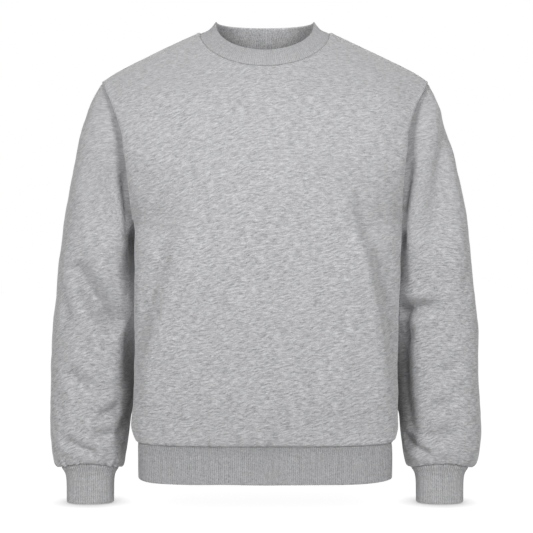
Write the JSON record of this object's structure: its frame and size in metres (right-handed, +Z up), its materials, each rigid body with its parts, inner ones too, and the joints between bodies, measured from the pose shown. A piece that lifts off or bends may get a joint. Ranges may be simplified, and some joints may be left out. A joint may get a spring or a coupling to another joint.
{
  "type": "crewneck sweatshirt",
  "caption": "Hollow, filled-out crewneck sweatshirt in heather grey fleece jersey with set-in long sleeves and ribbed neck band, cuffs and waistband, all open.",
  "frame": {"origin": "middle of the neck base, level with the neck ends of the two shoulder seams and in the plane of the shoulder and side seams", "axes": "+Z up along the wearer's spine, -Y out of the front, +X towards the wearer's left sleeve"},
  "size_m": [0.6656, 0.2457, 0.738],
  "materials": {
    "jersey": "brushed heather grey fleece jersey, matte with a soft nap",
    "rib": "1x1 ribbed knit, heather grey, matte, fine vertical wales"
  },
  "bodies": {
    "root": {"front_panel": "jersey", "back_panel": "jersey", "sleeve_left": "jersey", "sleeve_right": "jersey", "neck_rib": "rib", "hem_rib": "rib", "cuff_left": "rib", "cuff_right": "rib"}
  },
  "joints": []
}
